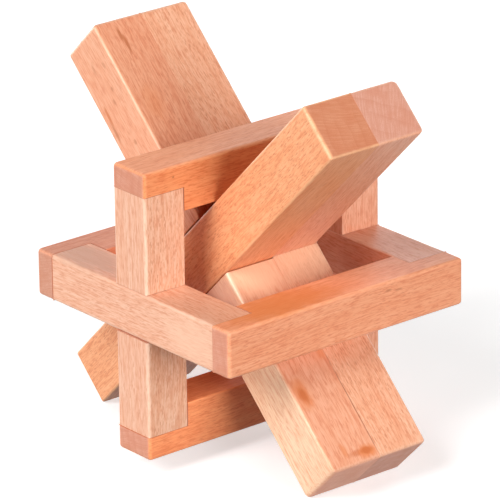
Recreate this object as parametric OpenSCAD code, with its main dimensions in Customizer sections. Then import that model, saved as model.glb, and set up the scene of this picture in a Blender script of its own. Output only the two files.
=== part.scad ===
// Two-frame interlocking burr puzzle in beech.
// Two equal square frames cross at right angles and are glued into one cage.
// Two laminated bars cross inside the cage as an X, each half-lapped into the
// other, and the puzzle stands on the lower ends of the bars.
// X runs along the long rails, Y from front to back, Z up.
// The origin is on the standing surface, under the centre of the puzzle.

/* [Cage] */
// Outer side of both square frames
frame_size = 76; // [74:1:90]
// Width and thickness of every frame rail
rail = 12.5; // [10:0.5:13]
// Rounding of the rails' long edges
rail_ease = 0.6; // [0.2:0.1:1.5]

/* [Bars] */
// Side of the square strips that the bars are glued up from
strip = 15.1; // [12:0.1:15.5]
// Length of the two crossing bars
bar_length = 130.5; // [120:0.5:170]
// Rounding of the bars' long outer edges
bar_ease = 1; // [0.2:0.1:3]

/* [Fit] */
// Clearance on each side of the half-lap between the bars
lap_gap = 0.2; // [0.1:0.05:0.4]
// Clearance between the cage and the bars that it rests on
rest_gap = 0.1; // [0.05:0.05:0.3]
// Where the crossing bars sit along the cage, from its middle
cross_shift = -1.2; // [-2:0.1:2]

/* [Hidden] */
$fn = 48;
half = frame_size / 2;
// Depth of the corner laps and of the cross-laps: half of a rail
lap = rail / 2;
// Inner edge of a frame's window
inner = half - rail;
// Length of the cross members, which reach to the middle of the corner laps
cross_len = frame_size - rail;
// Cage rests in the upper notch of the X: its top rail's lower edges and the
// inner lower edges of the front and back rails lie on the bars' upper faces
cage_drop = half - rail - rail / 2 - strip / sqrt(2) - rest_gap * sqrt(2);
// Height of the crossing point and of the cage's centre above the surface
cross_z = max((bar_length + strip) / (2 * sqrt(2)), cage_drop + half);
cage_z = cross_z - cage_drop;
notch_half = strip / 2 + lap_gap;
beech_frame = [0.80, 0.60, 0.44];
beech_cross = [0.84, 0.66, 0.51];
beech_bar = [0.82, 0.62, 0.47];
beech_short = [0.76, 0.53, 0.38];

// Square section with four eased corners
module eased_section(a, r) {
    square([a - 2 * r, a], center = true);
    square([a, a - 2 * r], center = true);
    for (i = [-1, 1], j = [-1, 1])
        translate([i * (a / 2 - r), j * (a / 2 - r)]) circle(r = r);
}

// Square section eased on its two outer corners only, glued flat on the other side
module strip_section(a, r, side) {
    translate([-side * r / 2, 0]) square([a - r, a], center = true);
    square([a, a - 2 * r], center = true);
    for (j = [-1, 1])
        translate([side * (a / 2 - r), j * (a / 2 - r)]) circle(r = r);
}

// Rail along X, centred on the origin
module rail_stock(len) {
    rotate([0, 90, 0]) translate([0, 0, -len / 2])
        linear_extrude(len) eased_section(rail, rail_ease);
}

// Full-length rail along X whose ends are rabbeted on the side facing -Y
module rabbeted_rail() {
    difference() {
        rail_stock(frame_size);
        for (i = [-1, 1])
            translate([i * half, -lap, 0])
                cube([2 * rail, rail, 2 * rail], center = true);
    }
}

// Cross member along Y with a cross-lap cut out of its middle on the +X side
module lapped_rail() {
    difference() {
        rotate([0, 0, 90]) rail_stock(cross_len);
        translate([lap, 0, 0]) cube([rail, rail, 2 * rail], center = true);
    }
}

// Length of glued strip between two stations along a bar
module bar_strip(from, to, side) {
    translate([side * strip / 2, 0, from])
        linear_extrude(to - from) strip_section(strip, bar_ease, side);
}

module at_cage() { translate([0, 0, cage_z]) children(); }

// Bar that leans to the back at its upper end
module at_back_bar() {
    translate([cross_shift + lap_gap / 2, 0, cross_z]) rotate([-45, 0, 0]) children();
}

// Bar that leans to the front at its upper end
module at_front_bar() {
    translate([cross_shift - lap_gap / 2, 0, cross_z]) rotate([45, 0, 0]) children();
}

// Horizontal frame
module front_rail() {
    color(beech_frame) at_cage()
        translate([0, -half + lap, 0]) mirror([0, 1, 0]) rabbeted_rail();
}

module back_rail() {
    color(beech_frame) at_cage()
        translate([0, half - lap, 0]) rabbeted_rail();
}

module left_side_rail() {
    color(beech_cross) at_cage()
        translate([-half + lap, 0, 0]) lapped_rail();
}

module right_side_rail() {
    color(beech_cross) at_cage()
        translate([half - lap, 0, 0]) lapped_rail();
}

// Upright frame
module top_rail() {
    color(beech_frame) at_cage()
        translate([0, 0, half - lap]) rotate([90, 0, 0]) rabbeted_rail();
}

module bottom_rail() {
    color(beech_frame) at_cage()
        translate([0, 0, -half + lap]) rotate([-90, 0, 0]) rabbeted_rail();
}

module left_post() {
    color(beech_cross) at_cage()
        translate([-half + lap, 0, 0]) rotate([90, 0, 0])
            mirror([1, 0, 0]) lapped_rail();
}

module right_post() {
    color(beech_cross) at_cage()
        translate([half - lap, 0, 0]) rotate([90, 0, 0])
            mirror([1, 0, 0]) lapped_rail();
}

// Bar that leans to the back: long strip on the right, two short strips on the left
module back_bar_long_strip() {
    color(beech_bar) at_back_bar() bar_strip(-bar_length / 2, bar_length / 2, 1);
}

module back_bar_upper_strip() {
    color(beech_short) at_back_bar() bar_strip(notch_half, bar_length / 2, -1);
}

module back_bar_lower_strip() {
    color(beech_short) at_back_bar() bar_strip(-bar_length / 2, -notch_half, -1);
}

// Bar that leans to the front: long strip on the left, two short strips on the right
module front_bar_long_strip() {
    color(beech_bar) at_front_bar() bar_strip(-bar_length / 2, bar_length / 2, -1);
}

module front_bar_upper_strip() {
    color(beech_short) at_front_bar() bar_strip(notch_half, bar_length / 2, 1);
}

module front_bar_lower_strip() {
    color(beech_short) at_front_bar() bar_strip(-bar_length / 2, -notch_half, 1);
}

front_rail();
back_rail();
left_side_rail();
right_side_rail();
top_rail();
bottom_rail();
left_post();
right_post();
back_bar_long_strip();
back_bar_upper_strip();
back_bar_lower_strip();
front_bar_long_strip();
front_bar_upper_strip();
front_bar_lower_strip();
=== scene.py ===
import math

import bmesh
import bpy
from mathutils import Matrix, Vector


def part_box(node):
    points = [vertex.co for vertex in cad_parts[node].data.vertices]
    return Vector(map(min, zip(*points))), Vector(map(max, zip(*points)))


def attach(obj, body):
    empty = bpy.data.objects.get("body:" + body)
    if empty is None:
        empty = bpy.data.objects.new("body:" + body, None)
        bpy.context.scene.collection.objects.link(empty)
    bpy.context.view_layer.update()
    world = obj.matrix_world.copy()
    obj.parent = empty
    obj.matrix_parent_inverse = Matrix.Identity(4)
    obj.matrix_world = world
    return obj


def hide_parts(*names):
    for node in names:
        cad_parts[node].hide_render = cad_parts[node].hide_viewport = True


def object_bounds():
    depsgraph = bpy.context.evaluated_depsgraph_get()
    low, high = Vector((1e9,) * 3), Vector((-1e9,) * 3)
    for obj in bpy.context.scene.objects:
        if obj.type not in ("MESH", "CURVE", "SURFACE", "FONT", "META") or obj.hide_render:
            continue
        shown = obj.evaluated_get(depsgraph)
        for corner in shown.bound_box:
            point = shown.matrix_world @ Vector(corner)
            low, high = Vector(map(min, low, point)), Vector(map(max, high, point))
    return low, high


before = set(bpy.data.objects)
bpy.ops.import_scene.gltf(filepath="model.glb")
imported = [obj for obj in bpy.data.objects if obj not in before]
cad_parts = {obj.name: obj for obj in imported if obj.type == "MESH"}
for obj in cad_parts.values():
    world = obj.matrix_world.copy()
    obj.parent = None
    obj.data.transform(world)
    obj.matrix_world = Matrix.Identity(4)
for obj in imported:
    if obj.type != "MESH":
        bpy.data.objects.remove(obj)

cad_lo, cad_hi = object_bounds()

# ------------------------------------------------------------------ sizes, from the frame
MM = 0.001
front_lo, front_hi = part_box("front_rail")
top_lo, top_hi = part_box("top_rail")
side_lo, side_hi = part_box("left_side_rail")
HALF = front_hi.x                                # half of the frames' outer side
RAIL = front_hi.y - front_lo.y                   # rail section
LAP = RAIL / 2
INNER = HALF - RAIL
CROSS_HALF = side_hi.y                           # half length of the cross members
CAGE = Vector((0, 0, (front_lo.z + front_hi.z) / 2))
S2 = math.sqrt(0.5)


def bar_numbers(prefix):
    lo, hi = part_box(prefix + "_long_strip")
    ulo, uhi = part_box(prefix + "_upper_strip")
    side = hi.x - lo.x
    length = (hi.y - lo.y) / S2 - side
    seam = lo.x if abs(lo.x - uhi.x) < abs(hi.x - ulo.x) else hi.x
    short = (uhi.z - ulo.z) / S2 - side
    return side, length, short, Vector((seam, 0, (lo.z + hi.z) / 2))


# ------------------------------------------------------------------ mesh building
R_MAX = 2.4 * MM                                 # the bevel width that a weight of 1 means


def prism(name, points, radii, half_depth, corner_radii, rot, centre):
    """A prism over an outline of (across, along) points, with its own rounding radius on every edge.

    radii[i] is the rounding, in mm, of the face edges from point i to i+1, as one number or as (at -Y, at +Y).
    corner_radii[i] rounds the edge through point i, across the thickness."""
    bm = bmesh.new()
    layer = bm.edges.layers.float.new("bevel_weight_edge")
    n = len(points)
    low = [bm.verts.new((a, -half_depth, l)) for a, l in points]
    high = [bm.verts.new((a, half_depth, l)) for a, l in points]
    bm.faces.new(low)
    bm.faces.new(list(reversed(high)))
    for i in range(n):
        j = (i + 1) % n
        bm.faces.new((low[i], high[i], high[j], low[j]))
    bm.normal_update()
    if bm.calc_volume(signed=True) < 0:
        bmesh.ops.reverse_faces(bm, faces=bm.faces[:])
    for i in range(n):
        j = (i + 1) % n
        r = radii[i]
        r_low, r_high = r if isinstance(r, (tuple, list)) else (r, r)
        bm.edges.get((low[i], low[j]))[layer] = r_low * MM / R_MAX
        bm.edges.get((high[i], high[j]))[layer] = r_high * MM / R_MAX
        bm.edges.get((low[i], high[i]))[layer] = corner_radii[i] * MM / R_MAX
    mesh = bpy.data.meshes.new(name)
    bm.to_mesh(mesh)
    bm.free()
    obj = bpy.data.objects.new(name, mesh)
    bpy.context.scene.collection.objects.link(obj)
    bevel = obj.modifiers.new("easing", "BEVEL")
    bevel.limit_method = "WEIGHT"
    bevel.width = R_MAX
    bevel.segments = 5
    bevel.profile = 0.5
    bevel.use_clamp_overlap = True
    bevel.miter_outer = "MITER_SHARP"
    dg = bpy.context.evaluated_depsgraph_get()
    done = bpy.data.meshes.new_from_object(obj.evaluated_get(dg), depsgraph=dg)
    obj.modifiers.clear()
    obj.data = done
    done.name = name
    bpy.data.meshes.remove(mesh)
    edges = []
    for i in range(n):
        j = (i + 1) % n
        r = radii[i] if isinstance(radii[i], (tuple, list)) else (radii[i], radii[i])
        for y, rr in ((-half_depth, r[0]), (half_depth, r[1])):
            edges.append((Vector((points[i][0], y, points[i][1])), Vector((points[j][0], y, points[j][1])), rr))
        edges.append((Vector((points[i][0], -half_depth, points[i][1])),
                      Vector((points[i][0], half_depth, points[i][1])), corner_radii[i]))
    finish_mesh(done, edges)
    obj.matrix_world = Matrix.Translation(centre) @ rot.to_4x4()
    return obj


def finish_mesh(mesh, edges):
    """Smooth rounded edges beside flat faces, and two vertex attributes: edge_highlight is 1 along the crest of an
    eased edge, where the shader paints a highlight, seam is 1 along an edge that meets another piece. edges holds
    (point, point, rounding in mm)."""
    flat = set()
    normals = [Vector((0, 0, 0)) for _ in mesh.vertices]
    for p in mesh.polygons:
        is_flat = max(abs(c) for c in p.normal) > 0.9999
        for i in p.vertices:
            normals[i] += p.normal * p.area * (1e6 if is_flat else 1.0)
            if is_flat:
                flat.add(i)
    # crests of eased edges, which the shader paints paler as a painted highlight
    edge_highlight = mesh.attributes.new("edge_highlight", "FLOAT", "POINT")
    seam = mesh.attributes.new("seam", "FLOAT", "POINT")
    for v in mesh.vertices:
        crest = joint = 0.0
        if v.index not in flat:
            for a, b, r in edges:
                ab = b - a
                t = max(0.0, min(1.0, (v.co - a).dot(ab) / ab.dot(ab)))
                d = (v.co - a - ab * t).length / MM
                if r >= 0.3:
                    crest = max(crest, 1.0 - max(0.0, d - 0.414 * r) / (0.586 * r))
                elif r > 0 and d < r:
                    joint = 1.0
        edge_highlight.data[v.index].value = max(0.0, crest) * (1.0 - joint)
        seam.data[v.index].value = joint
    for p in mesh.polygons:
        p.use_smooth = True
    loops = []
    for p in mesh.polygons:
        is_flat = max(abs(c) for c in p.normal) > 0.9999
        for i in p.vertices:
            loops.append(p.normal.copy() if is_flat else normals[i].normalized())
    mesh.normals_split_custom_set(loops)


def axes(ex, ez):
    ex, ez = Vector(ex).normalized(), Vector(ez).normalized()
    ey = ez.cross(ex)
    return Matrix((ex, ey, ez)).transposed()


# ------------------------------------------------------------------ material
def beech(name, tone, seed, pith, end_tone, ring=3.0, ring_depth=0.25, dashes=0.5, dash_depth=0.6, dash_size=1.0,
          broad_flecks=0.3, streaks=0.7, strokes=0.45, hair=0.7, cloud=0.35, edge_highlight=0.6, gloss=0.44, end_bands=0.5,
          glue=0.75, figure=0.85, slant=0.06, faces=(), spots_and_painted_light=()):
    """Beech: growth rings round a pith beside the piece, ray flecks, fibre streaks and darker end grain.

    Coordinates are the piece's own, in millimetres, with Z along the grain. pith is where the tree's centre lies.
    dashes is the share of the fine ray dashes that show, from 0 to 1. faces paint light and shade onto one side of
    the piece, each (axis 0 or 1, sign, multipliers). spots_and_painted_light are soft spots and streaks, natural
    marks in the wood and painted shadows and highlights, each (centre in mm, radii in mm, colour, strength)."""
    mat = bpy.data.materials.new(name)
    mat.use_nodes = True
    nt = mat.node_tree
    nt.nodes.clear()
    nodes, links = nt.nodes, nt.links

    def node(kind, **props):
        n = nodes.new(kind)
        for k, v in props.items():
            setattr(n, k, v)
        return n

    def put(socket, value):
        if hasattr(value, "is_output"):
            links.new(value, socket)
        elif value is not None:
            socket.default_value = value

    def math_(op, a, b=None, c=None, clamp=False):
        n = node("ShaderNodeMath", operation=op, use_clamp=clamp)
        put(n.inputs[0], a)
        put(n.inputs[1], b)
        put(n.inputs[2], c)
        return n.outputs[0]

    def times(a, b, clamp=False):
        return math_("MULTIPLY", a, b, clamp=clamp)

    def vmath(op, a, b=None, scale=None):
        n = node("ShaderNodeVectorMath", operation=op)
        put(n.inputs[0], a)
        if b is not None:
            put(n.inputs[1], b)
        if scale is not None:
            put(n.inputs["Scale"], scale)
        return n.outputs[1] if op in ("DOT_PRODUCT", "LENGTH") else n.outputs[0]

    def join(x, y, z):
        n = node("ShaderNodeCombineXYZ")
        put(n.inputs[0], x)
        put(n.inputs[1], y)
        put(n.inputs[2], z)
        return n.outputs[0]

    def split(v):
        n = node("ShaderNodeSeparateXYZ")
        put(n.inputs[0], v)
        return n.outputs

    def remap(v, lo, hi, to_lo=0.0, to_hi=1.0):
        n = node("ShaderNodeMapRange", interpolation_type="SMOOTHSTEP")
        put(n.inputs[0], v)
        for i, x in enumerate((lo, hi, to_lo, to_hi)):
            put(n.inputs[i + 1], x)
        return n.outputs[0]

    def noise(vec, detail=2.0, rough_=0.5):
        n = node("ShaderNodeTexNoise")
        put(n.inputs["Vector"], vec)
        n.inputs["Scale"].default_value = 1.0
        n.inputs["Detail"].default_value = detail
        n.inputs["Roughness"].default_value = rough_
        return n.outputs[0]

    def cells(vec):
        n = node("ShaderNodeTexVoronoi", voronoi_dimensions="3D", feature="F1")
        put(n.inputs["Vector"], vec)
        n.inputs["Scale"].default_value = 1.0
        return n.outputs["Distance"], split(n.outputs["Color"])

    def mix(fac, a, b):
        n = node("ShaderNodeMix", data_type="RGBA", blend_type="MIX")
        put(n.inputs[0], fac)
        put(n.inputs[6], a)
        put(n.inputs[7], b)
        return n.outputs[2]

    def shade(c, r, g, b):
        return (min(1.0, c[0] * r), min(1.0, c[1] * g), min(1.0, c[2] * b), 1.0)

    coord = node("ShaderNodeTexCoord")
    mm = vmath("SCALE", coord.outputs["Object"], scale=1000.0)
    seeded = vmath("ADD", mm, (seed * 17.3, seed * -9.1, seed * 31.7))

    def stretched(x, y, z, offset=(0.0, 0.0, 0.0), source=None):
        return vmath("MULTIPLY", vmath("ADD", source or seeded, offset), (x, y, z))

    # grain that wanders a little along the piece
    bend = join(times(math_("SUBTRACT", noise(stretched(0.02, 0.02, 0.014)), 0.5), 6.0),
                times(math_("SUBTRACT", noise(stretched(0.02, 0.02, 0.014, (91, 13, 7))), 0.5), 6.0), 0.0)
    grain = vmath("ADD", mm, bend)
    px, py, pz = split(vmath("SUBTRACT", grain, (pith[0], pith[1], 0.0)))
    radius = math_("SQRT", math_("ADD", times(px, px), times(py, py)))
    # the angle is measured from the pith towards the piece, so its seam lies beyond the piece
    reach = math.hypot(*pith)
    ux, uy = -pith[0] / reach, -pith[1] / reach
    forward = math_("ADD", times(px, ux), times(py, uy))
    across = math_("ADD", times(px, -uy), times(py, ux))
    around = times(math_("ARCTAN2", across, forward), reach)

    # growth rings: a slow rise, then the thin darker latewood
    turns = math_("ADD", math_("DIVIDE", radius, ring), times(noise(stretched(0.09, 0.09, 0.02)), 1.2))
    turn = math_("FRACT", math_("ADD", turns, seed * 0.37 + 40.0))
    late = times(math_("POWER", turn, 3.5), remap(turn, 1.0, 0.92))
    late = times(late, remap(noise(stretched(0.12, 0.12, 0.012), 1.0), 0.32, 0.62, 0.25, 1.0))

    # rays: upright lenses that run out from the pith; dashes on one face, wider flecks beside it
    def rays(width, depth, height, offset, lo, hi):
        dist, pick = cells(join(math_("DIVIDE", math_("ADD", around, offset), width * dash_size),
                                math_("DIVIDE", radius, depth * dash_size),
                                math_("DIVIDE", math_("ADD", pz, seed * 13.0 + offset), height * dash_size)))
        return remap(dist, hi, lo), pick

    patchy = remap(noise(stretched(0.11, 0.11, 0.04, (5, 77, 3)), 2.0), 0.34, 0.56, 0.45, 1.0)
    # rays show end-on as dashes where the face looks along them, and as wide flecks where it runs along them
    facing = split(coord.outputs["Normal"])
    end_on = math_("DIVIDE", math_("ADD", times(facing[0], px), times(facing[1], py)), radius)
    end_on = remap(math_("ABSOLUTE", end_on), 0.35, 0.75)
    dashed = math_("MULTIPLY_ADD", end_on, 0.88, 0.12)
    small, small_pick = rays(0.40, 3.2, 2.1, 0.0, 0.18, 0.38)
    small = times(times(small, remap(small_pick[0], 1.0 - dashes, 1.02 - dashes * 0.6)), times(patchy, dashed))
    tiny, tiny_pick = rays(0.27, 2.2, 1.15, 71.0, 0.20, 0.42)
    tiny = times(times(tiny, remap(tiny_pick[0], 0.95 - dashes, 1.0 - dashes * 0.5, 0.0, 1.0)), dashed)
    large, large_pick = rays(0.85, 11.0, 4.2, 33.0, 0.12, 0.30)
    large = times(times(large, remap(large_pick[0], 0.55, 0.75)), math_("SUBTRACT", 1.0, end_on))
    stroke, stroke_pick = rays(0.62, 2.6, 8.5, 19.0, 0.12, 0.42)
    stroke = times(times(stroke, remap(stroke_pick[0], 0.30, 0.80)), dashed)

    # fibres and the short soft figure between them
    fx, fy, fz = split(grain)
    leaning = join(math_("ADD", times(fx, 2.3), times(fz, 2.3 * slant)),
                   math_("ADD", times(fy, 2.3), times(fz, 2.3 * slant)),
                   math_("ADD", times(fz, 0.36), seed * 3.1))
    figured = noise(leaning, 2.0, 0.55)
    hairs = noise(stretched(3.2, 3.2, 0.11, source=grain), 2.0, 0.6)
    fibres = noise(stretched(1.6, 1.6, 0.045, (seed * 3.0, 0, 0), grain), 3.0, 0.6)
    bands = noise(stretched(0.34, 0.34, 0.010, (0, seed * 4.0, 0), grain), 2.0)
    clouds = noise(stretched(0.10, 0.10, 0.035), 3.0, 0.55)
    pores = noise(stretched(6.5, 6.5, 1.1), 1.0)

    colour = mix(remap(bands, 0.36, 0.66), shade(tone, 1.03, 1.10, 1.15), shade(tone, 0.99, 0.96, 0.94))
    colour = mix(times(remap(clouds, 0.40, 0.70), cloud), colour, shade(tone, 0.96, 0.84, 0.80))
    colour = mix(times(remap(fibres, 0.44, 0.72), streaks), colour, shade(tone, 0.93, 0.78, 0.70))
    colour = mix(times(remap(fibres, 0.46, 0.26), streaks * 0.6), colour, shade(tone, 1.04, 1.16, 1.24))
    colour = mix(times(remap(figured, 0.50, 0.68), figure), colour, shade(tone, 0.83, 0.62, 0.53))
    colour = mix(times(remap(figured, 0.48, 0.32), figure * 0.7), colour, shade(tone, 1.04, 1.15, 1.22))
    colour = mix(times(remap(hairs, 0.50, 0.70), hair), colour, shade(tone, 0.84, 0.63, 0.54))
    colour = mix(times(remap(hairs, 0.48, 0.30), hair * 0.7), colour, shade(tone, 1.06, 1.22, 1.34))
    colour = mix(times(late, ring_depth), colour, shade(tone, 0.84, 0.66, 0.56))
    colour = mix(times(stroke, strokes), colour, shade(tone, 0.86, 0.68, 0.60))
    colour = mix(times(large, broad_flecks), colour, shade(tone, 0.80, 0.64, 0.56))
    colour = mix(times(tiny, dash_depth * 0.55), colour, shade(tone, 0.74, 0.52, 0.42))
    colour = mix(times(small, dash_depth), colour, shade(tone, 0.70, 0.47, 0.37))
    colour = mix(times(remap(pores, 0.58, 0.76), 0.22), colour, shade(tone, 0.84, 0.66, 0.58))

    # soft spots and streaks: natural marks in the wood, and painted shadows and highlights
    for k, (c, r, tint, strength) in enumerate(spots_and_painted_light):
        away = vmath("DIVIDE", vmath("SUBTRACT", mm, tuple(c)), tuple(r))
        ragged = noise(stretched(0.8, 0.8, 0.3, (k * 11.0, 0, 0)), 2.0)
        dist = math_("ADD", vmath("LENGTH", away), times(math_("SUBTRACT", ragged, 0.5), 0.9))
        colour = mix(times(remap(dist, 1.05, 0.35), strength), colour, (tint[0], tint[1], tint[2], 1.0))

    # painted light and shade: one side of the piece made paler or darker by a multiplier
    for axis, sign, light_multiplier in faces:
        side = remap(times(facing[axis], float(sign)), 0.45, 0.90)
        painted_light_colour = vmath("MULTIPLY", colour, tuple(light_multiplier))
        colour = mix(side, colour, painted_light_colour)

    # end grain: ray lines out from the pith, darker rings, fine dots
    nz = facing[2]
    end = remap(math_("ABSOLUTE", nz), 0.74, 0.97)
    lines = noise(join(math_("DIVIDE", around, 0.33), math_("DIVIDE", radius, 6.0), 0.0), 2.0, 0.6)
    dots = noise(stretched(3.4, 3.4, 0.1), 2.0, 0.6)
    smudge = noise(stretched(0.22, 0.22, 0.02, (3, 5, 0)), 2.0)
    end_colour = mix(remap(lines, 0.40, 0.66), shade(end_tone, 0.97, 0.94, 0.92), shade(end_tone, 1.05, 1.16, 1.26))
    end_colour = mix(times(remap(smudge, 0.42, 0.66), end_bands), end_colour, shade(end_tone, 0.92, 0.78, 0.70))
    end_colour = mix(times(late, 0.55), end_colour, shade(end_tone, 0.86, 0.70, 0.60))
    end_colour = mix(times(remap(dots, 0.44, 0.70), 0.42), end_colour, shade(end_tone, 0.84, 0.70, 0.64))
    colour = mix(end, colour, end_colour)

    # painted highlight: eased edges painted paler along their crests; joints a little darker
    highlit_edge = node("ShaderNodeAttribute", attribute_name="edge_highlight").outputs["Fac"]
    highlight_break = noise(stretched(0.5, 0.5, 0.2, (31, 0, 9)), 3.0)
    highlit_edge = times(times(highlit_edge, remap(highlight_break, 0.30, 0.60, 0.25, 1.0)), edge_highlight)
    colour = mix(highlit_edge, colour, shade(tone, 1.08, 1.34, 1.50))
    joint = node("ShaderNodeAttribute", attribute_name="seam").outputs["Fac"]
    colour = mix(times(joint, glue), colour, shade(tone, 0.50, 0.32, 0.24))

    shader = node("ShaderNodeBsdfPrincipled")
    put(shader.inputs["Base Color"], colour)
    r = math_("ADD", times(math_("SUBTRACT", fibres, 0.5), 0.22), gloss)
    r = math_("ADD", r, times(math_("SUBTRACT", clouds, 0.5), 0.14))
    r = math_("ADD", r, times(end, 0.12))
    r = math_("SUBTRACT", r, times(highlit_edge, 0.06), clamp=True)
    put(shader.inputs["Roughness"], r)
    shader.inputs["IOR"].default_value = 1.48
    height = math_("ADD", times(fibres, 0.45), times(hairs, 0.45))
    height = math_("SUBTRACT", height, times(figured, 0.25))
    height = math_("SUBTRACT", height, times(small, 0.35))
    height = math_("SUBTRACT", height, times(remap(pores, 0.55, 0.8), 0.30))
    height = math_("ADD", height, times(late, 0.15))
    bump = node("ShaderNodeBump")
    bump.inputs["Strength"].default_value = 0.6
    bump.inputs["Distance"].default_value = 0.00006
    put(bump.inputs["Height"], height)
    put(shader.inputs["Normal"], bump.outputs[0])
    out = node("ShaderNodeOutputMaterial")
    put(out.inputs["Surface"], shader.outputs[0])
    return mat


# ------------------------------------------------------------------ pieces
OUT, END, WIN, SEAM = 0.9, 1.1, 0.4, 0.10        # easing in mm


def rail_piece(node_name, outward):
    """Full-length rail: rabbeted ends on the side that faces the window."""
    c = CAGE + Vector(outward) * (HALF - LAP)
    rot = axes(outward, (1, 0, 0))
    pts = [(LAP, -HALF), (LAP, HALF), (0, HALF), (0, INNER), (-LAP, INNER), (-LAP, -INNER), (0, -INNER), (0, -HALF)]
    radii = [OUT, END, SEAM, SEAM, WIN, SEAM, SEAM, END]
    corners = [END, END, SEAM, 0, SEAM, SEAM, 0, SEAM]
    return prism("vis_" + node_name, pts, radii, RAIL / 2, corners, rot, c)


def cross_piece(node_name, outward, along, notch_outside):
    """Cross member with its ends in the rabbets and a cross-lap at its middle."""
    step = 0.12 * MM                              # its faces stand a hair behind the rails' ends
    c = CAGE + Vector(outward) * (HALF - LAP)
    rot = axes(outward, along)
    o, i = LAP - step, -LAP
    e, k = CROSS_HALF, RAIL / 2
    if notch_outside:
        pts = [(o, -e), (o, -k), (0, -k), (0, k), (o, k), (o, e), (i, e), (i, -e)]
        radii = [OUT, SEAM, SEAM, SEAM, OUT, SEAM, WIN, SEAM]
        corners = [SEAM, SEAM, 0, 0, SEAM, SEAM, SEAM, SEAM]
    else:
        pts = [(o, -e), (o, e), (i, e), (i, k), (0, k), (0, -k), (i, -k), (i, -e)]
        radii = [OUT, SEAM, WIN, SEAM, SEAM, SEAM, WIN, SEAM]
        corners = [SEAM, SEAM, SEAM, SEAM, 0, 0, SEAM, SEAM]
    return prism("vis_" + node_name, pts, radii, RAIL / 2 - 0.04 * MM, corners, rot, c)


def strip_piece(node_name, along, outward, side, start, end, centre, start_free, end_free, ease, seam):
    """Square strip of a bar. ease: long outer edges at -Y and +Y, across the free end, and round the free end's face."""
    rot = axes((outward, 0, 0), along)
    pts = [(0, start), (side, start), (side, end), (0, end)]
    lo, hi, across, rim = ease
    ends = [rim if start_free else 0.2, rim if end_free else 0.2]
    turns = [across if start_free else 0.2, across if end_free else 0.2]
    radii = [ends[0], (lo, hi), ends[1], (seam, seam)]
    corners = [seam, turns[0], turns[1], seam]
    return prism("vis_" + node_name, pts, radii, side / 2, corners, rot, centre)


built = []


def add(obj, node_name, body, material):
    obj.data.materials.clear()
    obj.data.materials.append(material)
    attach(obj, body)
    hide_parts(node_name)
    built.append(obj)
    return obj


RAIL_END = (0.68, 0.290, 0.185)
CROSS_END = (0.68, 0.310, 0.200)
ORANGE, BROWN, RUST = (0.76, 0.240, 0.080), (0.50, 0.150, 0.055), (0.58, 0.140, 0.035)

# rails: local X points out of the frame, Z runs along +X
add(rail_piece("front_rail", (0, -1, 0)), "front_rail", "cage",
    beech("beech_front_rail", (0.90, 0.368, 0.192), 1.0, (-70, 12), RAIL_END, ring=2.6, dashes=0.45,
          dash_depth=0.55, cloud=0.50, edge_highlight=0.30,
          # the first spot is a painted shadow of the front bar on the left part of the top face
          spots_and_painted_light=(((0, -6.25, -17), (9, 2, 22), (0.78, 0.238, 0.062), 0.75),
                 ((6.25, -3.9, 13.2), (1, 0.5, 1.8), BROWN, 0.6), ((6.25, -3.3, 16.4), (1, 0.45, 1.5), BROWN, 0.55))))
add(rail_piece("back_rail", (0, 1, 0)), "back_rail", "cage",
    beech("beech_back_rail", (0.84, 0.340, 0.190), 2.0, (-60, 25), (0.62, 0.285, 0.184), ring=2.8, dashes=0.40,
          # the top face is painted darker, as painted shade
          dash_depth=0.45, edge_highlight=0.30, faces=((1, 1, (0.80, 0.80, 0.80)),)))
add(rail_piece("top_rail", (0, 0, 1)), "top_rail", "cage",
    beech("beech_top_rail", (0.82, 0.285, 0.110), 3.0, (-14, 70), (0.65, 0.272, 0.170), ring=2.4, dashes=0.30,
          # the top face is painted paler and cooler, as a painted sheen
          dash_depth=0.50, strokes=0.55, cloud=0.60, edge_highlight=0.22, faces=((0, 1, (1.12, 1.30, 1.72)),),
          spots_and_painted_light=(((3.5, 6.25, -28.8), (0.45, 1, 0.55), BROWN, 0.9),)))
add(rail_piece("bottom_rail", (0, 0, -1)), "bottom_rail", "cage",
    beech("beech_bottom_rail", (0.93, 0.325, 0.130), 4.0, (14, 70), RAIL_END, ring=2.6, dashes=0.40,
          dash_depth=0.50, strokes=0.45, cloud=0.60, edge_highlight=0.22))

# cross members: local X points out of the cage
add(cross_piece("left_side_rail", (-1, 0, 0), (0, 1, 0), False), "left_side_rail", "cage",
    beech("beech_left_side_rail", (0.84, 0.455, 0.298), 5.0, (-70, 20), CROSS_END, ring=3.2, ring_depth=0.12,
          dashes=0.50, dash_depth=0.40, cloud=0.30, edge_highlight=0.45,
          # the first spot is painted shade on the back part of the top face
          spots_and_painted_light=(((0, 6.25, 24), (9, 2, 20), (0.60, 0.325, 0.220), 0.75),
                 ((6.25, 0, -24), (2, 8, 14), (0.92, 0.56, 0.385), 0.55))))
add(cross_piece("right_side_rail", (1, 0, 0), (0, 1, 0), True), "right_side_rail", "cage",
    beech("beech_right_side_rail", (0.86, 0.420, 0.272), 6.0, (-60, 34), CROSS_END, ring=3.2, ring_depth=0.12,
          dashes=0.50, dash_depth=0.38, cloud=0.30, edge_highlight=0.35))
add(cross_piece("left_post", (-1, 0, 0), (0, 0, 1), True), "left_post", "cage",
    beech("beech_left_post", (0.83, 0.455, 0.300), 7.0, (-12, -70), CROSS_END, ring=3.0, ring_depth=0.12,
          dashes=0.95, dash_depth=0.80, strokes=0.85, broad_flecks=0.12, streaks=0.9, cloud=0.25, edge_highlight=0.75,
          # the front face is painted a little paler, as painted light
          faces=((1, 1, (0.98, 1.05, 1.06)),)))
add(cross_piece("right_post", (1, 0, 0), (0, 0, 1), False), "right_post", "cage",
    beech("beech_right_post", (0.83, 0.400, 0.250), 8.0, (12, 70), CROSS_END, ring=3.0, ring_depth=0.12,
          dashes=0.85, dash_depth=0.60, strokes=0.65, cloud=0.25, edge_highlight=0.45))

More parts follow.
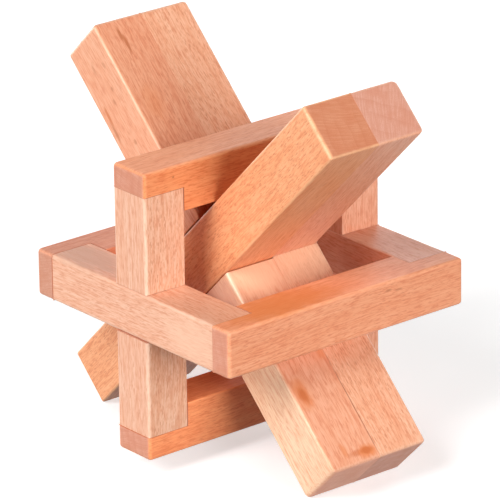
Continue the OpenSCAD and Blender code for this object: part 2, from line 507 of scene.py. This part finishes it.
# bars: local X points away from the glue seam
SMALL, LARGE = (0.6, 0.6, 0.8, 0.6), (1.9, 1.9, 1.6, 0.9)
STRIPS = {
    "back_bar": dict(
        along=(0, S2, S2), out=1,
        long=dict(ease=(1.1, 1.1, 1.2, 0.9), seam=0.08, tone=(0.89, 0.452, 0.275), end_tone=(0.74, 0.36, 0.255),
                  seed=10.0, pith=(-8, 70), dashes=1.0, dash_depth=0.72, ring_depth=0.12, strokes=0.45, cloud=0.40,
                  edge_highlight=0.40, glue=0.15,
                  # the first spot is a painted highlight where the strip crosses the other bar
                  spots_and_painted_light=(((7.5, -7.55, -11.0), (13, 2, 9.0), (0.93, 0.60, 0.39), 0.60),
                         ((0.0, -7.55, -51.0), (0.22, 1, 17.0), (0.40, 0.115, 0.045), 0.85))),
        upper=dict(ease=(0.8, 0.8, 1.2, 0.8), seam=0.05, tone=(0.83, 0.370, 0.212), end_tone=(0.63, 0.280, 0.170), seed=11.0,
                   pith=(34, -70), dashes=0.55, dash_depth=0.50, ring=4.0, ring_depth=0.25, cloud=0.60,
                   # the -X face is painted paler, as painted light
                   edge_highlight=0.85, glue=0.15, faces=((0, 1, (1.0, 1.10, 1.15)),),
                   spots_and_painted_light=(((9.0, 7.55, 61.0), (0.6, 2, 2.8), BROWN, 0.85), ((8.4, 7.55, 57.8), (0.55, 2, 3.2), BROWN, 0.80),
                          ((15.1, -4.7, 45.0), (2, 0.7, 3.4), RUST, 0.85), ((15.1, -5.3, 40.6), (2, 0.65, 3.8), BROWN, 0.80),
                          ((15.1, 0.2, 46.5), (2, 0.75, 1.2), BROWN, 0.60), ((15.1, 1.9, 49.4), (2, 0.7, 1.0), BROWN, 0.60),
                          ((15.1, 0.1, 34.7), (2, 0.7, 1.0), BROWN, 0.60), ((15.1, 3.6, 55.5), (2, 0.6, 1.2), BROWN, 0.45),
                          ((15.1, -1.0, 56.5), (2, 0.7, 2.0), BROWN, 0.40), ((10.0, 7.55, 41.0), (3.6, 2, 7.0), ORANGE, 0.30))),
        # the lower strip's free end face is painted paler, as painted light from below
        lower=dict(ease=(0.8, 0.7, 1.5, 1.0), seam=0.08, tone=(0.85, 0.400, 0.240), end_tone=(0.90, 0.45, 0.31), seed=12.0,
                   pith=(30, -70), dashes=0.35, dash_depth=0.30, ring=4.0, ring_depth=0.20, strokes=0.25,
                   # the -X face is painted paler, as painted light from below
                   streaks=0.8, cloud=0.50, edge_highlight=0.30, glue=0.15, faces=((0, 1, (1.16, 1.55, 1.66)),),
                   # the first spot is a painted highlight where the strip crosses the other bar
                   spots_and_painted_light=(((7.5, 7.55, -11.0), (13, 2, 9.0), (0.92, 0.58, 0.375), 0.75),
                          # painted shade on the -X face beside the crossing
                          ((15.1, 0.0, -13.0), (2, 10, 10.0), (0.68, 0.27, 0.18), 0.70),
                          # painted highlight along the ridge at the crossing
                          ((14.9, 7.4, -12.0), (1.0, 1.0, 9.0), (0.94, 0.66, 0.46), 0.65),
                          ((0.0, 7.55, -51.0), (0.22, 1, 17.0), (0.40, 0.115, 0.045), 0.85),
                          ((12.4, 7.55, -43.6), (2.8, 2, 5.6), ORANGE, 0.75), ((12.2, 7.55, -44.2), (1.6, 2, 3.2), RUST, 0.80),
                          ((9.3, 7.55, -60.6), (1.0, 2, 2.4), ORANGE, 0.60), ((6.3, 7.55, -62.3), (3.6, 2, 1.2), RUST, 0.60),
                          ((2.4, 7.55, -62.6), (3.8, 2, 2.2), ORANGE, 0.85), ((3.0, 7.55, -62.4), (2.6, 2, 1.2), RUST, 0.80),
                          ((1.2, 7.55, -34.8), (1.6, 2, 2.2), ORANGE, 0.50), ((8.0, 7.55, -27.0), (9, 2, 6.0), ORANGE, 0.35)))),
    "front_bar": dict(
        along=(0, -S2, S2), out=-1,
        long=dict(ease=(0.8, 0.7, 1.1, 0.7), seam=0.05, tone=(0.88, 0.392, 0.188), end_tone=(0.64, 0.245, 0.126), seed=20.0,
                  pith=(-70, 16), dashes=0.85, strokes=0.75, dash_depth=0.68, ring_depth=0.20, cloud=0.45, edge_highlight=0.70, glue=0.20),
        upper=dict(ease=LARGE, seam=0.05, tone=(0.89, 0.415, 0.250), end_tone=(0.69, 0.322, 0.222), seed=21.0,
                   pith=(-30, -70), dashes=0.55, dash_depth=0.40, ring=4.0, cloud=0.45, edge_highlight=0.35, glue=0.20),
        lower=dict(ease=LARGE, seam=0.05, tone=(0.86, 0.400, 0.245), end_tone=(0.70, 0.30, 0.18), seed=22.0,
                   pith=(-30, 70), dashes=0.55, dash_depth=0.40, ring=4.0, cloud=0.45, edge_highlight=0.40, glue=0.20)),
}
for prefix, b in STRIPS.items():
    side, length, short, seam_at = bar_numbers(prefix)
    h = length / 2
    spans = {"long": (b["out"], -h, h, True, True), "upper": (-b["out"], h - short, h, False, True),
             "lower": (-b["out"], -h, -h + short, True, False)}
    for part, (outward, start, end, free0, free1) in spans.items():
        node_name = "%s_%s_strip" % (prefix, part)
        finish = dict(b[part])
        ease, seam = finish.pop("ease"), finish.pop("seam")
        add(strip_piece(node_name, b["along"], outward, side, start, end, seam_at, free0, free1, ease, seam),
            node_name, prefix,
            beech("beech_" + node_name, finish.pop("tone"), finish.pop("seed"), finish.pop("pith"),
                  finish.pop("end_tone"), **finish))

# ------------------------------------------------------------------ floor, light and camera
floor_mesh = bpy.data.meshes.new("floor")
bm = bmesh.new()
bmesh.ops.create_grid(bm, x_segments=1, y_segments=1, size=6.0)
bm.to_mesh(floor_mesh)
bm.free()
floor = bpy.data.objects.new("floor", floor_mesh)
bpy.context.scene.collection.objects.link(floor)
floor_mat = bpy.data.materials.new("floor_paper")
floor_mat.use_nodes = True
bsdf = floor_mat.node_tree.nodes["Principled BSDF"]
bsdf.inputs["Base Color"].default_value = (0.82, 0.82, 0.82, 1)
bsdf.inputs["Roughness"].default_value = 0.9
bsdf.inputs["Specular IOR Level"].default_value = 0.1
bsdf.inputs["Emission Color"].default_value = (1, 1, 1, 1)
bsdf.inputs["Emission Strength"].default_value = 0.50
floor_mesh.materials.append(floor_mat)
lowest = min((o.matrix_world @ Vector(c)).z for o in built for c in o.bound_box)
floor.location = (0, 0, min(0.0, lowest) - 0.0001)
floor.visible_diffuse = False                    # its bounce is set by the lights below, not by its brightness
floor.visible_shadow = False

# white surroundings, which show in the wood's gloss but give only a little diffuse light
world = bpy.data.worlds.new("studio")
bpy.context.scene.world = world
world.use_nodes = True
wt = world.node_tree
ray = wt.nodes.new("ShaderNodeLightPath")
level = wt.nodes.new("ShaderNodeMapRange")
wt.links.new(ray.outputs["Is Diffuse Ray"], level.inputs[0])
level.inputs[3].default_value = 0.80
level.inputs[4].default_value = 0.05
wt.nodes["Background"].inputs["Color"].default_value = (1.0, 1.0, 1.0, 1)
wt.links.new(level.outputs[0], wt.nodes["Background"].inputs["Strength"])

centre = Vector((0, 0, (cad_lo.z + cad_hi.z) / 2))


def softbox(name, azimuth, elevation, width, level, distance=3.0, tint=(1, 1, 1)):
    """azimuth is from -Y towards -X; width is in degrees as the object sees it; level 1 lights white to white."""
    a, e = math.radians(azimuth), math.radians(elevation)
    way = Vector((-math.sin(a) * math.cos(e), -math.cos(a) * math.cos(e), math.sin(e)))
    data = bpy.data.lights.new(name, "AREA")
    data.shape = "SQUARE"
    data.size = 2 * distance * math.tan(math.radians(width / 2))
    data.energy = level * math.pi ** 2 * distance ** 2
    data.color = tint
    obj = bpy.data.objects.new(name, data)
    obj.location = centre + way * distance
    obj.rotation_mode = "QUATERNION"
    obj.rotation_quaternion = (-way).to_track_quat("-Z", "Y")
    bpy.context.scene.collection.objects.link(obj)


softbox("key_left", 82, 38, 26, 0.78)
softbox("low_left", 100, -10, 30, 0.44)
softbox("front", 2, 14, 32, 0.88)
softbox("back", 180, 5, 30, 0.54)
softbox("right", -120, 5, 30, 0.50)
softbox("back_high", -150, 40, 30, 0.06)

cam_data = bpy.data.cameras.new("camera")
cam_data.sensor_width = 36.0
cam_data.lens = 368.087
cam_data.clip_start = 0.05
cam_data.clip_end = 50.0
cam = bpy.data.objects.new("camera", cam_data)
right = Vector((0.7697376, -0.6382410, -0.0123461)).normalized()
fwd = Vector((0.5920055, 0.7209446, -0.3602338)).normalized()
right = (right - fwd * right.dot(fwd)).normalized()
up = right.cross(fwd)
cam.matrix_world = Matrix.Translation((-0.7584917, -0.9240845, 0.5116784)) @ Matrix(
    (right, up, -fwd)).transposed().to_4x4()
bpy.context.scene.collection.objects.link(cam)
bpy.context.scene.camera = cam

bpy.context.scene.view_settings.view_transform = "Standard"
